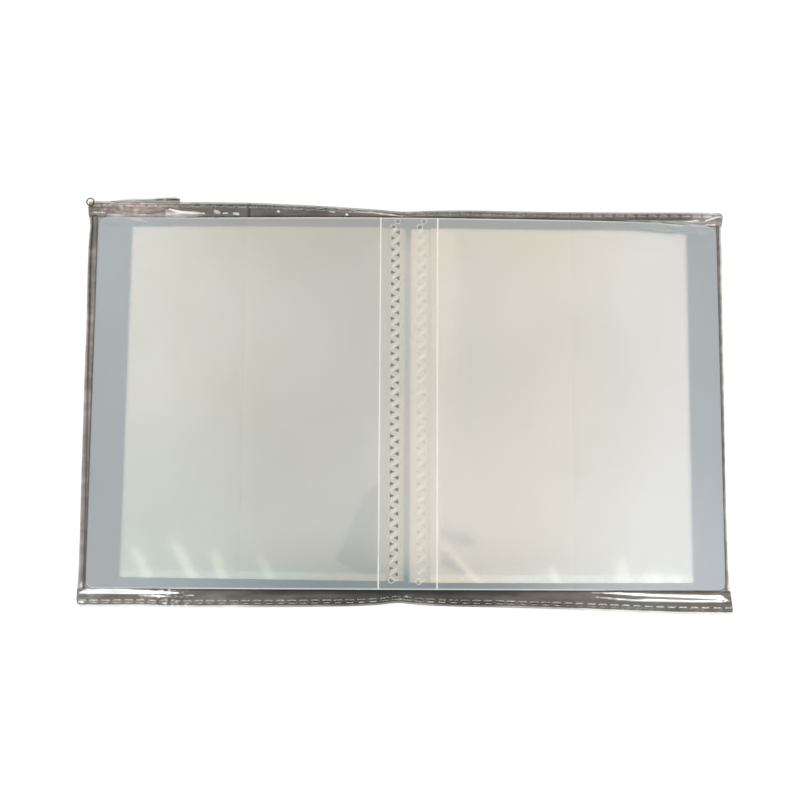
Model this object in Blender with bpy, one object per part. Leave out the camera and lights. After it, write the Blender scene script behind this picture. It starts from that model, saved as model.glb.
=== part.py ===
"""Display book lying open: a sheet cover with two score folds, two welded banks of pocket leaves
and a soft clear jacket. Metres, +Z up, +Y towards the open ends of the pockets. The origin is on
the table, under the middle of the spine."""

import math

import bmesh
import bpy
from mathutils import Matrix, Vector

# Cover sheet
COVER_HEIGHT = 0.165
COVER_PANEL_WIDTH = 0.126
SPINE_WIDTH = 0.0255
COVER_THICKNESS = 0.0007
COVER_CORNER_RADIUS = 0.003
FOLD_SLIT = 0.0006
SCORE_BEVEL = 0.0002

# Pocket leaves
LEAVES_PER_BANK = 10
LEAF_HEIGHT = 0.1548
LEAF_MARGIN = 0.014
LEAF_THICKNESS = 0.0003
LEAF_GAP = 0.0002
POCKET_SLOT = 0.0001
BOTTOM_SEAL = 0.0022
SIDE_SEAL = 0.001
ROOT_SEAL = 0.0025
SEAL_PRESS = 0.00008

# Welded flanges that hold a bank of leaves to the spine
FLANGE_INSET = 0.00345
FLANGE_GAP = 0.0029
SHOULDER_BEVEL = 0.0012
WELD_EDGE = 0.0021
WELD_COLUMN_GAP = 0.0024
WELD_PITCH = 0.00506
WELD_SIZE = 0.0015
WELD_OVERRUN = 0.0013
FLANGE_WELD_DEPTH = 0.0012
SPINE_WELD_DEPTH = 0.0003

# Jacket
JACKET_FILM = 0.0003
JACKET_SIDE_BORDER = 0.0037
JACKET_END_BORDER = 0.0062
JACKET_CORNER_RADIUS = 0.002
JACKET_PINCH = 0.0028
PINCH_REACH = 0.048
FLAP_WIDTH = 0.070
HEM_CLEARANCE = 0.0008
HEM_THICKNESS = 0.0007
DASH_LENGTH = 0.0036
DASH_WIDTH = 0.0012
DASH_PITCH = 0.005
DASH_INSET = 0.0021
DASH_DEPTH = 0.0003
LIP_HEIGHT = 0.0019
LIP_START = 0.0085
LIP_LENGTH = 0.031
LIP_RAMP = 0.004
RING_RADIUS = 0.0018
RING_WALL = 0.0006

# Clearance between one sheet and the next
SEAT = 0.0003

# Places worked out from the sizes above
SCORE_X = SPINE_WIDTH / 2
COVER_EDGE_X = SCORE_X + COVER_PANEL_WIDTH
COVER_EDGE_Y = COVER_HEIGHT / 2
COVER_BOTTOM = JACKET_FILM + SEAT
COVER_TOP = COVER_BOTTOM + COVER_THICKNESS
FLAP_BOTTOM = COVER_TOP + SEAT
FLAP_TOP = FLAP_BOTTOM + JACKET_FILM
JACKET_EDGE_X = COVER_EDGE_X + JACKET_SIDE_BORDER
JACKET_EDGE_Y = COVER_EDGE_Y + JACKET_END_BORDER
HEM_INNER_Y = COVER_EDGE_Y + HEM_CLEARANCE
HEM_TOP = COVER_BOTTOM + HEM_THICKNESS
FLANGE_OUTER_X = SCORE_X - FLANGE_INSET
FLANGE_INNER_X = FLANGE_GAP / 2
FLANGE_BOTTOM = COVER_TOP + SEAT
FLANGE_TOP = FLANGE_BOTTOM + LEAVES_PER_BANK * LEAF_THICKNESS
LEAF_ROOT_X = FLANGE_OUTER_X + SEAT
LEAF_EDGE_X = COVER_EDGE_X - LEAF_MARGIN
LEAF_EDGE_Y = LEAF_HEIGHT / 2
LEAF_PITCH = LEAF_THICKNESS + LEAF_GAP
STACK_BOTTOM = FLAP_TOP + SEAT

ARC_STEPS = 6
CUT_PAST = 0.0005
MERGE_DISTANCE = 1e-7


def clear_scene():
    for old in list(bpy.data.objects):
        bpy.data.objects.remove(old, do_unlink=True)


def new_collection(name):
    collection = bpy.data.collections.new(name)
    bpy.context.scene.collection.children.link(collection)
    return collection


def new_material(name, colour, roughness, alpha=1.0):
    material = bpy.data.materials.new(name)
    material.use_nodes = True
    shader = material.node_tree.nodes["Principled BSDF"]
    shader.inputs["Base Color"].default_value = (*colour, 1.0)
    shader.inputs["Roughness"].default_value = roughness
    shader.inputs["Metallic"].default_value = 0.0
    shader.inputs["Alpha"].default_value = alpha
    material.diffuse_color = (*colour, alpha)
    return material


def extruded_loops(name, loops, bottom, thickness):
    """A closed mesh: flat loops in the XY plane, filled and given a thickness along Z."""
    curve = bpy.data.curves.new(name, "CURVE")
    curve.dimensions = "2D"
    curve.fill_mode = "BOTH"
    curve.extrude = thickness / 2
    for loop in loops:
        spline = curve.splines.new("POLY")
        spline.points.add(len(loop) - 1)
        for point, (x, y) in zip(spline.points, loop):
            point.co = (x, y, 0.0, 1.0)
        spline.use_cyclic_u = True
    guide = bpy.data.objects.new(name, curve)
    bpy.context.scene.collection.objects.link(guide)
    bpy.context.view_layer.update()
    depsgraph = bpy.context.evaluated_depsgraph_get()
    mesh = bpy.data.meshes.new_from_object(guide.evaluated_get(depsgraph))
    bpy.data.objects.remove(guide, do_unlink=True)
    mesh.name = name
    edit = bmesh.new()
    edit.from_mesh(mesh)
    bmesh.ops.remove_doubles(edit, verts=edit.verts, dist=MERGE_DISTANCE)
    bmesh.ops.recalc_face_normals(edit, faces=edit.faces)
    edit.to_mesh(mesh)
    edit.free()
    mesh.transform(Matrix.Translation((0.0, 0.0, bottom + thickness / 2)))
    return mesh


def bevel_mesh_edges(mesh, wanted, width):
    """Bevel the edges whose two ends both pass the test."""
    edit = bmesh.new()
    edit.from_mesh(mesh)
    edges = [edge for edge in edit.edges if all(wanted(vert.co) for vert in edge.verts)]
    bmesh.ops.bevel(edit, geom=edges, offset=width, segments=1, affect="EDGES")
    edit.to_mesh(mesh)
    edit.free()


def near(a, b):
    return abs(a - b) < 1e-6


def add_object(name, mesh, material, collection, origin=(0.0, 0.0, 0.0), parent=None):
    """Link a mesh made in world coordinates, with its origin moved to a joint axis."""
    mesh.transform(Matrix.Translation(-Vector(origin)))
    mesh.materials.clear()
    mesh.materials.append(material)
    obj = bpy.data.objects.new(name, mesh)
    collection.objects.link(obj)
    set_place(obj, origin, parent)
    return obj


def set_place(obj, origin, parent):
    """Put an object at a world point, under a parent that is only moved and never turned."""
    obj.parent = parent
    above = Vector((0.0, 0.0, 0.0))
    while parent:
        above += parent.location
        parent = parent.parent
    obj.location = Vector(origin) - above


def add_axis(name, point, collection, parent=None):
    axis = bpy.data.objects.new(name, None)
    axis.empty_display_size = 0.01
    collection.objects.link(axis)
    set_place(axis, point, parent)
    return axis


def add_cutter(name, loops, bottom, thickness, origin, parent):
    mesh = extruded_loops(name, loops, bottom, thickness)
    cutter = add_object(name, mesh, cutter_material, cutters, origin, parent)
    cutter.hide_render = True
    cutter.display_type = "WIRE"
    return cutter


def combine(obj, other, operation):
    modifier = obj.modifiers.new(operation.lower(), "BOOLEAN")
    modifier.operation = operation
    modifier.solver = "EXACT"
    modifier.object = other


def arc(centre_x, centre_y, radius, start_deg, end_deg, steps=ARC_STEPS):
    points = []
    for step in range(steps + 1):
        angle = math.radians(start_deg + (end_deg - start_deg) * step / steps)
        points.append((centre_x + radius * math.cos(angle), centre_y + radius * math.sin(angle)))
    return points


def rectangle(x_low, x_high, y_low, y_high):
    return [(x_low, y_low), (x_high, y_low), (x_high, y_high), (x_low, y_high)]


def mirrored(loop):
    """The loop on the other side of the spine, in the same turning direction."""
    return [(-x, y) for x, y in reversed(loop)]


def jacket_edge(x):
    """Half the jacket's height at x: it is drawn in at the spine, where the film is slack."""
    pull = max(0.0, 1.0 - abs(x) / PINCH_REACH)
    return JACKET_EDGE_Y - JACKET_PINCH * pull * pull * (3.0 - 2.0 * pull)


def edge_run(x_from, x_to, steps=ARC_STEPS):
    """Points along the jacket's upper edge between two x."""
    run = []
    for step in range(steps + 1):
        x = x_from + (x_to - x_from) * step / steps
        run.append((x, jacket_edge(x)))
    return run


def outer_corner():
    """The rounded upper right corner of the jacket, from its side to its upper edge."""
    radius = JACKET_CORNER_RADIUS
    return arc(JACKET_EDGE_X - radius, JACKET_EDGE_Y - radius, radius, 0.0, 90.0)


def upper_edge_right():
    """The jacket's upper edge over the right cover, from the outer side to the fold."""
    return outer_corner() + edge_run(PINCH_REACH, SCORE_X + FOLD_SLIT / 2)


def upper_edge_spine():
    x = SCORE_X - FOLD_SLIT / 2
    return edge_run(x, -x)


def flipped(loop):
    """The loop turned over to the lower half, in the same turning direction."""
    return [(x, -y) for x, y in reversed(loop)]


def film_loop_right():
    upper = upper_edge_right()
    return upper + flipped(upper)


def film_loop_spine():
    upper = upper_edge_spine()
    return upper + flipped(upper)


def hem_loop_right():
    upper = upper_edge_right()
    return upper + [(upper[-1][0], HEM_INNER_Y), (upper[0][0], HEM_INNER_Y)]


def hem_loop_spine():
    upper = upper_edge_spine()
    return upper + [(upper[-1][0], HEM_INNER_Y), (upper[0][0], HEM_INNER_Y)]


def lip_loop():
    """A strip of slack film that stands out past the upper hem, near the left corner."""
    start = -JACKET_EDGE_X + LIP_START
    end = start + LIP_LENGTH
    root_y = JACKET_EDGE_Y - DASH_INSET / 4
    return [
        (start, root_y),
        (end, root_y),
        (end, JACKET_EDGE_Y + LIP_HEIGHT * 0.75),
        (end - LIP_RAMP / 4, JACKET_EDGE_Y + LIP_HEIGHT),
        (start + 2 * LIP_RAMP, JACKET_EDGE_Y + LIP_HEIGHT * 0.85),
        (start + LIP_RAMP, JACKET_EDGE_Y + LIP_HEIGHT * 0.3),
    ]


def ring_loops():
    """A small ring of film off the jacket's upper left corner, clear of its rounded edge."""
    reach = JACKET_CORNER_RADIUS + RING_RADIUS - RING_WALL / 2
    corner_x = -JACKET_EDGE_X + JACKET_CORNER_RADIUS
    corner_y = JACKET_EDGE_Y - JACKET_CORNER_RADIUS
    centre_x = corner_x - reach * math.sqrt(0.5)
    centre_y = corner_y + reach * math.sqrt(0.5)
    turns = 4 * ARC_STEPS
    outer = arc(centre_x, centre_y, RING_RADIUS, 0.0, 360.0, turns)[:-1]
    inner = arc(centre_x, centre_y, RING_RADIUS - RING_WALL, 0.0, 360.0, turns)[:-1]
    return [outer, inner]


def dash_loop(x, y):
    """One pressed dash of the hem weld: a rectangle with cut corners."""
    half_length = DASH_LENGTH / 2
    half_width = DASH_WIDTH / 2
    cut = DASH_WIDTH / 3
    return [
        (x - half_length + cut, y - half_width),
        (x + half_length - cut, y - half_width),
        (x + half_length, y - half_width + cut),
        (x + half_length, y + half_width - cut),
        (x + half_length - cut, y + half_width),
        (x - half_length + cut, y + half_width),
        (x - half_length, y + half_width - cut),
        (x - half_length, y - half_width + cut),
    ]


def dash_loops(x_low, x_high):
    """The dashes whose whole length lies between two x, on one pitch across the whole hem."""
    first = math.ceil((x_low + DASH_LENGTH / 2 + SEAT) / DASH_PITCH)
    last = math.floor((x_high - DASH_LENGTH / 2 - SEAT) / DASH_PITCH)
    places = [number * DASH_PITCH for number in range(first, last + 1)]
    return [dash_loop(x, jacket_edge(x) - DASH_INSET) for x in places]


def weld_places():
    """Centres of one bank's zigzag welds as (column, y). The columns are half a pitch apart."""
    length = LEAF_HEIGHT + 2 * WELD_OVERRUN
    count = int(length / WELD_PITCH) + 1
    low = -(count - 1) * WELD_PITCH / 2
    places = []
    for number in range(count):
        places.append((0, low + number * WELD_PITCH))
        places.append((1, low + (number + 0.5) * WELD_PITCH))
    return places


def weld_loop(x, y, points_right):
    """One triangular weld whose tip points along X."""
    turn = 1.0 if points_right else -1.0
    half = WELD_SIZE / 2
    loop = [(x - turn * half, y - half), (x + turn * half, y), (x - turn * half, y + half)]
    return loop if points_right else list(reversed(loop))


def weld_loops(side, on_flange):
    """The welds of the bank on one side (-1 left, 1 right), on its flanges or past their ends."""
    loops = []
    middle = side * (FLANGE_OUTER_X - WELD_EDGE - WELD_COLUMN_GAP / 2)
    for column, y in weld_places():
        x = middle + (column - 0.5) * WELD_COLUMN_GAP
        within = abs(y) + WELD_SIZE / 2 < LEAF_EDGE_Y
        beyond = abs(y) - WELD_SIZE / 2 > LEAF_EDGE_Y
        if within if on_flange else beyond:
            loops.append(weld_loop(x, y, points_right=column == 0))
    return loops


def add_cover_panel(name, loop, folds, origin, parent):
    """One panel of the cover sheet, thinned on both faces along each score fold."""
    mesh = extruded_loops(name, [loop], COVER_BOTTOM, COVER_THICKNESS)
    for fold_x in folds:
        bevel_mesh_edges(mesh, lambda co: near(co.x, fold_x) and abs(co.y) > 0.0, SCORE_BEVEL)
    return add_object(name, mesh, cover_material, book, origin, parent)


def cover_loop_right():
    radius = COVER_CORNER_RADIUS
    x_low = SCORE_X + FOLD_SLIT / 2
    upper = arc(COVER_EDGE_X - radius, COVER_EDGE_Y - radius, radius, 0.0, 90.0)
    upper.append((x_low, COVER_EDGE_Y))
    return upper + flipped(upper)


def add_hem(name, loop, x_low, x_high, lower, origin, parent, extras=()):
    """A welded hem strip with its row of dashes, and any film that stands out past it."""
    turn = flipped if lower else list
    mesh = extruded_loops(name, [turn(loop)], COVER_BOTTOM, HEM_THICKNESS)
    hem = add_object(name, mesh, hem_material, book, origin, parent)
    for number, loops in enumerate(extras):
        extra = add_cutter(f"{name}_extra_{number}", loops, COVER_BOTTOM, HEM_THICKNESS, origin, parent)
        combine(hem, extra, "UNION")
    dashes = [turn(dash) for dash in dash_loops(x_low, x_high)]
    depth = DASH_DEPTH + CUT_PAST
    cutter = add_cutter(f"{name}_dashes", dashes, HEM_TOP - DASH_DEPTH, depth, origin, parent)
    combine(hem, cutter, "DIFFERENCE")
    return hem


def add_flap(name, side, origin, parent):
    """The inner sleeve of the jacket: film folded over at the outer side, open towards the spine."""
    inner_x = JACKET_EDGE_X - FLAP_WIDTH
    fold_x = JACKET_EDGE_X - JACKET_FILM
    profile = [
        (inner_x, FLAP_BOTTOM),
        (fold_x, FLAP_BOTTOM),
        (fold_x, COVER_BOTTOM),
        (JACKET_EDGE_X, COVER_BOTTOM),
        (JACKET_EDGE_X, FLAP_TOP - JACKET_FILM / 2),
        (JACKET_EDGE_X - JACKET_FILM / 2, FLAP_TOP),
        (inner_x, FLAP_TOP),
    ]
    if side < 0:
        profile = mirrored(profile)
    half_height = HEM_INNER_Y - SEAT
    mesh = extruded_loops(name, [profile], -half_height, 2 * half_height)
    mesh.transform(Matrix.Rotation(math.radians(90), 4, "X"))
    return add_object(name, mesh, film_material, book, origin, parent)


def add_flange(name, side, origin, parent):
    """The inner edges of one bank's leaves, pressed flat and welded to the spine in a zigzag."""
    loop = rectangle(FLANGE_INNER_X, FLANGE_OUTER_X, -LEAF_EDGE_Y, LEAF_EDGE_Y)
    if side < 0:
        loop = mirrored(loop)
    mesh = extruded_loops(name, [loop], FLANGE_BOTTOM, FLANGE_TOP - FLANGE_BOTTOM)
    shoulder_x = side * FLANGE_OUTER_X
    bevel_mesh_edges(
        mesh, lambda co: near(co.x, shoulder_x) and near(co.z, FLANGE_TOP), SHOULDER_BEVEL
    )
    flange = add_object(name, mesh, leaf_material, book, origin, parent)
    depth = FLANGE_WELD_DEPTH + CUT_PAST
    welds = weld_loops(side, on_flange=True)
    cutter = add_cutter(f"{name}_welds", welds, FLANGE_TOP - FLANGE_WELD_DEPTH, depth, origin, parent)
    combine(flange, cutter, "DIFFERENCE")
    return flange


def pocket_leaf_mesh(side):
    """One leaf at the height of the lowest: two films sealed round a slot that opens upwards."""
    name = "pocket_leaf"
    outline = rectangle(LEAF_ROOT_X, LEAF_EDGE_X, -LEAF_EDGE_Y, LEAF_EDGE_Y)
    slot = rectangle(
        LEAF_ROOT_X + ROOT_SEAL,
        LEAF_EDGE_X - SIDE_SEAL,
        -LEAF_EDGE_Y + BOTTOM_SEAL,
        LEAF_EDGE_Y + CUT_PAST,
    )
    band = rectangle(
        LEAF_ROOT_X + ROOT_SEAL,
        LEAF_EDGE_X + CUT_PAST,
        -LEAF_EDGE_Y - CUT_PAST,
        -LEAF_EDGE_Y + BOTTOM_SEAL - SEAL_PRESS,
    )
    if side < 0:
        outline, slot, band = mirrored(outline), mirrored(slot), mirrored(band)
    leaf = add_object(
        name,
        extruded_loops(name, [outline], STACK_BOTTOM, LEAF_THICKNESS),
        leaf_material,
        cutters,
    )
    film = (LEAF_THICKNESS - POCKET_SLOT) / 2
    top = STACK_BOTTOM + LEAF_THICKNESS
    slot_cutter = add_cutter(f"{name}_slot", [slot], STACK_BOTTOM + film, POCKET_SLOT, (0, 0, 0), None)
    band_cutter = add_cutter(
        f"{name}_band", [band], top - SEAL_PRESS, SEAL_PRESS + CUT_PAST, (0, 0, 0), None
    )
    combine(leaf, slot_cutter, "DIFFERENCE")
    combine(leaf, band_cutter, "DIFFERENCE")
    bpy.context.view_layer.update()
    depsgraph = bpy.context.evaluated_depsgraph_get()
    mesh = bpy.data.meshes.new_from_object(leaf.evaluated_get(depsgraph))
    for used in (leaf, slot_cutter, band_cutter):
        bpy.data.objects.remove(used, do_unlink=True)
    return mesh


def add_bank(word, side, parent):
    """A bank of leaves. Each leaf turns about its own root edge and rides on the leaf below."""
    mesh = pocket_leaf_mesh(side)
    mesh.transform(Matrix.Translation((-side * LEAF_ROOT_X, 0.0, -STACK_BOTTOM)))
    for number in range(LEAVES_PER_BANK):
        leaf = bpy.data.objects.new(f"leaf_{word}_{number + 1:02d}", mesh)
        book.objects.link(leaf)
        root = (side * LEAF_ROOT_X, 0.0, STACK_BOTTOM + number * LEAF_PITCH)
        set_place(leaf, root, parent)
        parent = leaf


clear_scene()
book = new_collection("display_book")
cutters = new_collection("cutters")
cover_material = new_material("frosted_cover_sheet", (0.41, 0.45, 0.48), 0.45, 0.85)
leaf_material = new_material("pocket_film", (0.62, 0.62, 0.55), 0.3, 0.6)
film_material = new_material("jacket_film", (0.35, 0.34, 0.33), 0.15, 0.5)
hem_material = new_material("jacket_hem", (0.2, 0.19, 0.18), 0.2, 0.7)
cutter_material = new_material("cutter", (0.8, 0.3, 0.1), 0.5)

# Fold axes: the covers turn about the upper face of the sheet at the score lines, and each bank
# of leaves turns about the shoulder of its welded flanges
spine_axis = (-SCORE_X, 0.0, COVER_TOP)
right_axis = (SCORE_X, 0.0, COVER_TOP)
left_bank_axis = (-FLANGE_OUTER_X, 0.0, FLANGE_TOP)
right_bank_axis = (FLANGE_OUTER_X, 0.0, FLANGE_TOP)
spine = add_axis("spine_fold", spine_axis, book)
right = add_axis("right_cover_fold", right_axis, book, spine)
left_bank = add_axis("left_bank_fold", left_bank_axis, book, spine)
right_bank = add_axis("right_bank_fold", right_bank_axis, book, spine)
ORIGIN = (0.0, 0.0, 0.0)

# Cover sheet: two covers and the spine panel between their folds
spine_half = SCORE_X - FOLD_SLIT / 2
panel_low = SCORE_X + FOLD_SLIT / 2
add_cover_panel("cover_left", mirrored(cover_loop_right()), [-panel_low], ORIGIN, None)
spine_loop = rectangle(-spine_half, spine_half, -COVER_EDGE_Y, COVER_EDGE_Y)
cover_spine = add_cover_panel("cover_spine", spine_loop, [-spine_half, spine_half], spine_axis, spine)
add_cover_panel("cover_right", cover_loop_right(), [panel_low], right_axis, right)
end_welds = add_cutter(
    "cover_spine_welds",
    weld_loops(-1, on_flange=False) + weld_loops(1, on_flange=False),
    COVER_TOP - SPINE_WELD_DEPTH,
    SPINE_WELD_DEPTH + CUT_PAST,
    spine_axis,
    spine,
)
combine(cover_spine, end_welds, "DIFFERENCE")

# Jacket: the outer film, its folded-over inner flaps and its welded hems
for name, loop, origin, parent in (
    ("jacket_film_left", mirrored(film_loop_right()), ORIGIN, None),
    ("jacket_film_spine", film_loop_spine(), spine_axis, spine),
    ("jacket_film_right", film_loop_right(), right_axis, right),
):
    film_mesh = extruded_loops(name, [loop], 0.0, JACKET_FILM)
    add_object(name, film_mesh, film_material, book, origin, parent)
add_flap("jacket_flap_left", -1, ORIGIN, None)
add_flap("jacket_flap_right", 1, right_axis, right)
for end, lower in (("top", False), ("bottom", True)):
    extras = () if lower else ([lip_loop()], ring_loops())
    left_hem = mirrored(hem_loop_right())
    add_hem(f"hem_{end}_left", left_hem, -JACKET_EDGE_X, -panel_low, lower, ORIGIN, None, extras)
    add_hem(f"hem_{end}_spine", hem_loop_spine(), -spine_half, spine_half, lower, spine_axis, spine)
    add_hem(f"hem_{end}_right", hem_loop_right(), panel_low, JACKET_EDGE_X, lower, right_axis, right)

# Leaves and the flanges that hold them
add_flange("leaf_flange_left", -1, spine_axis, spine)
add_flange("leaf_flange_right", 1, spine_axis, spine)
add_bank("left", -1, left_bank)
add_bank("right", 1, right_bank)
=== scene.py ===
"""Looks of the display book: two banks of clear pocket leaves welded to the spine of a frosted cover
sheet, in a soft glossy jacket with dash-welded hems. +Z up, as the frame. Lengths are in millimetres
until they go into a mesh. Meshes, materials, lamps and the floor are in metres."""

import math

import bmesh
import bpy
import numpy as np
from mathutils import Matrix, Vector, noise


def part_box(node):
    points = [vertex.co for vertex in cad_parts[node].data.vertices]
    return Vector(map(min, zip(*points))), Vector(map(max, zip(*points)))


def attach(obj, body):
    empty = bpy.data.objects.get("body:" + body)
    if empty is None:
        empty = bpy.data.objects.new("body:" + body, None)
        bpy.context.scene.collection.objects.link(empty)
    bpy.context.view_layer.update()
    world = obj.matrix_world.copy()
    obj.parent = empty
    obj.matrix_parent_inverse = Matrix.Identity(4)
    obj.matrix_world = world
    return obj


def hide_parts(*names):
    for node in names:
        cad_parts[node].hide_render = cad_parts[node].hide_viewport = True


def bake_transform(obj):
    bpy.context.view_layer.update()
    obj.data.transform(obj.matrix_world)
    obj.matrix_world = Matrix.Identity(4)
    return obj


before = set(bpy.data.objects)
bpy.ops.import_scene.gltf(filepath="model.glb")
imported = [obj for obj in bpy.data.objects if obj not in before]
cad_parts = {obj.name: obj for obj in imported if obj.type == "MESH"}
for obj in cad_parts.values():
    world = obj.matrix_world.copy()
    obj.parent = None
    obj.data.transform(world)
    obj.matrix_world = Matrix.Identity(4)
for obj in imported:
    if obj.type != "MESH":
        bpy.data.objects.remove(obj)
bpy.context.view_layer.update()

MM = 0.001


def low(node):
    return np.array(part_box(node)[0]) / MM


def high(node):
    return np.array(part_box(node)[1]) / MM


# Places taken from the frame
COVER_X, COVER_Y, COVER_TOP = high("cover_right")
COVER_BOTTOM = low("cover_right")[2]
SCORE_X = (low("cover_right")[0] + high("cover_spine")[0]) / 2
FILM_TOP = high("jacket_film_right")[2]
HEM_TOP = high("hem_top_right")[2]
FLAP_X = low("jacket_flap_right")[0]
FLAP_TOP = high("jacket_flap_right")[2]
FLANGE_INNER_X = low("leaf_flange_right")[0]
FLANGE_OUTER_X, PAGE_Y, FLANGE_TOP = high("leaf_flange_right")
FLANGE_BOTTOM = low("leaf_flange_right")[2]
LEAF_ROOT_X = low("leaf_right_01")[0]
LEAF_EDGE_X = high("leaf_right_01")[0]
LEAVES = len([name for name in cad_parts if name.startswith("leaf_right_")])
ROOT_X = (LEAF_ROOT_X + FLANGE_OUTER_X) / 2
FLANGE_FILM = (FLANGE_TOP - FLANGE_BOTTOM) / LEAVES

# Sides are -1 for left and 1 for right, and ends are -1 for the bottom and 1 for the top
WORD = {-1: "left", 1: "right"}

# The photograph's camera: a phone held almost straight above the book
FOCAL_PIXELS = 1129.0
PICTURE_PIXELS = 800.0
CAMERA_PLACE = (-15.9, -54.4, 495.8)
CAMERA_PITCH, CAMERA_ROLL, CAMERA_TURN = 6.28, -1.45, 0.47

# Welds: two columns of triangles in each bank, as counted in the photograph
WELD_PITCH = 5.2
WELD_COUNT = 31
WELD_EDGE = {-1: 2.2, 1: 2.8}
WELD_COLUMN_GAP = 1.8
WELD_FIRST = -(WELD_COUNT - 1) * WELD_PITCH / 2 - 0.4
END_WELD_SHIFT = 0.55
WELD_SIZE = 2.2
WELD_DEPTH = 0.25
BEAD_HEIGHT = 0.08
SPOT_HEIGHT = 0.1
RING_RADIUS, RING_THICKNESS = 1.25, 0.22

# Corner radii of the cover at its lower and upper edge
SHEET_CORNER = {-1: 4.0, 1: 5.0}

# Hem dashes
DASH_PITCH = 5.0
DASH_LENGTH = 3.6
DASH_WIDTH = {-1: 1.2, 1: 0.9}
DASH_INSET = {-1: 2.2, 1: 1.6}
DASH_DEPTH = 0.25
DASH_CORNER = 0.4

SCORE_WIDTH = 0.7
BOTTOM_SEAL = 2.2
ROW_STEP = 3.5

# Share of light that each film of a leaf hides, which adds up over the bank, and what the pits and the
# beads of the welds add
VEIL = {-1: 0.018, 1: 0.0255}
WELD_VEIL = {-1: (0.78, 0.42), 1: (0.26, 0.3)}
CREASE_WIDTH = 0.4
# Where the inner edges of the lowest and the highest flange film lie
FLANGE_STAGGER = {-1: (1.2, 2.8), 1: (0.2, 1.5)}


# Small helpers


def rgb(red, green, blue):
    """A colour written as 0 to 255 display values, for a shader socket."""
    linear = []
    for value in (red, green, blue):
        share = value / 255
        linear.append(share / 12.92 if share <= 0.04045 else ((share + 0.055) / 1.055) ** 2.4)
    return (*linear, 1.0)


def smooth(values):
    values = np.clip(values, 0.0, 1.0)
    return values * values * (3 - 2 * values)


def between(values, low_end, high_end):
    """0 up to low_end, rising smoothly to 1 at high_end."""
    return smooth((values - low_end) / (high_end - low_end))


def until(values, low_end, high_end):
    """1 up to low_end, falling smoothly to 0 at high_end."""
    return 1 - between(values, low_end, high_end)


def bump(values, centre, half_width):
    """1 at the centre, falling smoothly to 0 at half_width to each side."""
    return smooth(1 - np.abs(values - centre) / half_width)


def through(outline, values):
    """A smooth curve through (place, height) points, read at the given places."""
    known, heights = np.array(outline, float).T
    slopes = np.gradient(heights, known)
    values = np.clip(values, known[0], known[-1])
    index = np.clip(np.searchsorted(known, values, side="right") - 1, 0, len(known) - 2)
    step = known[index + 1] - known[index]
    t = (values - known[index]) / step
    start, end = heights[index], heights[index + 1]
    lead, trail = slopes[index] * step, slopes[index + 1] * step
    return (
        (2 * t**3 - 3 * t**2 + 1) * start
        + (t**3 - 2 * t**2 + t) * lead
        + (3 * t**2 - 2 * t**3) * end
        + (t**3 - t**2) * trail
    )


def wander(x, y, size_x, size_y, seed):
    """Seeded smooth noise from -1 to 1 on a grid, with its own length along x and y."""
    flat = [
        noise.noise(Vector((u / size_x, v / size_y, seed)))
        for u, v in zip(np.ravel(x), np.ravel(y))
    ]
    return np.array(flat).reshape(np.shape(x))


def spread(start, end, step):
    """Evenly spaced places from start to end, no further apart than step."""
    count = max(2, math.ceil(abs(end - start) / step) + 1)
    return np.linspace(start, end, count)


# Mesh makers


def linked(name, data):
    """A new object in the scene with the given mesh, lamp or camera."""
    item = bpy.data.objects.new(name, data)
    bpy.context.scene.collection.objects.link(item)
    return item


def new_piece(name, verts, faces, material):
    mesh = bpy.data.meshes.new(name)
    mesh.from_pydata((np.asarray(verts) * MM).tolist(), [], np.asarray(faces).tolist())
    mesh.validate()
    mesh.materials.append(material)
    mesh.shade_smooth()
    mesh.set_sharp_from_angle(angle=math.radians(50))
    return linked(name, mesh)


def grid_quads(rows, columns):
    index = np.arange(rows * columns).reshape(rows, columns)
    corners = (index[:-1, :-1], index[:-1, 1:], index[1:, 1:], index[1:, :-1])
    return index, np.stack(corners, -1).reshape(-1, 4)


def points(x, y, z):
    return np.stack([x, y, z + 0 * x], -1).reshape(-1, 3)


def slab(name, x, y, top, bottom, material):
    """A closed body between two heights, each one number or a field over the grid of x and y."""
    rows, columns = x.shape
    index, quads = grid_quads(rows, columns)
    count = rows * columns
    rim = np.concatenate([index[0, :], index[1:, -1], index[-1, -2::-1], index[-2:0:-1, 0]])
    following = np.roll(rim, -1)
    walls = np.stack([rim + count, following + count, following, rim], -1)
    faces = np.concatenate([quads, quads[:, ::-1] + count, walls])
    return new_piece(name, np.concatenate([points(x, y, top), points(x, y, bottom)]), faces, material)


def pouch(name, x, y, front, back, material):
    """Two films joined along the bottom and both sides, and open along the last row."""
    rows, columns = x.shape
    index, quads = grid_quads(rows, columns)
    free = np.ones(x.shape, bool)
    free[0, :] = free[:, 0] = free[:, -1] = False
    behind = index.copy()
    behind[free] = rows * columns + np.arange(free.sum())
    verts = np.concatenate([points(x, y, front), points(x[free], y[free], back[free])])
    faces = np.concatenate([quads, behind.reshape(-1)[quads][:, ::-1]])
    return new_piece(name, verts, faces, material)


def from_bmesh(edit, name, material):
    mesh = bpy.data.meshes.new(name)
    edit.to_mesh(mesh)
    edit.free()
    mesh.materials.append(material)
    mesh.shade_smooth()
    return linked(name, mesh)


def torus(place, radius, thickness, segments, sides, material):
    """A ring that lies flat. thickness is the radius of its tube."""
    bpy.ops.mesh.primitive_torus_add(
        location=Vector(place) * MM,
        major_radius=radius * MM,
        minor_radius=thickness * MM,
        major_segments=segments,
        minor_segments=sides,
    )
    ring = bpy.context.object
    ring.data.transform(ring.matrix_world)
    ring.matrix_world = Matrix.Identity(4)
    ring.data.materials.append(material)
    return ring


def coordinates(piece):
    co = np.zeros(len(piece.data.vertices) * 3, np.float32)
    piece.data.vertices.foreach_get("co", co)
    return co.reshape(-1, 3)


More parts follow.
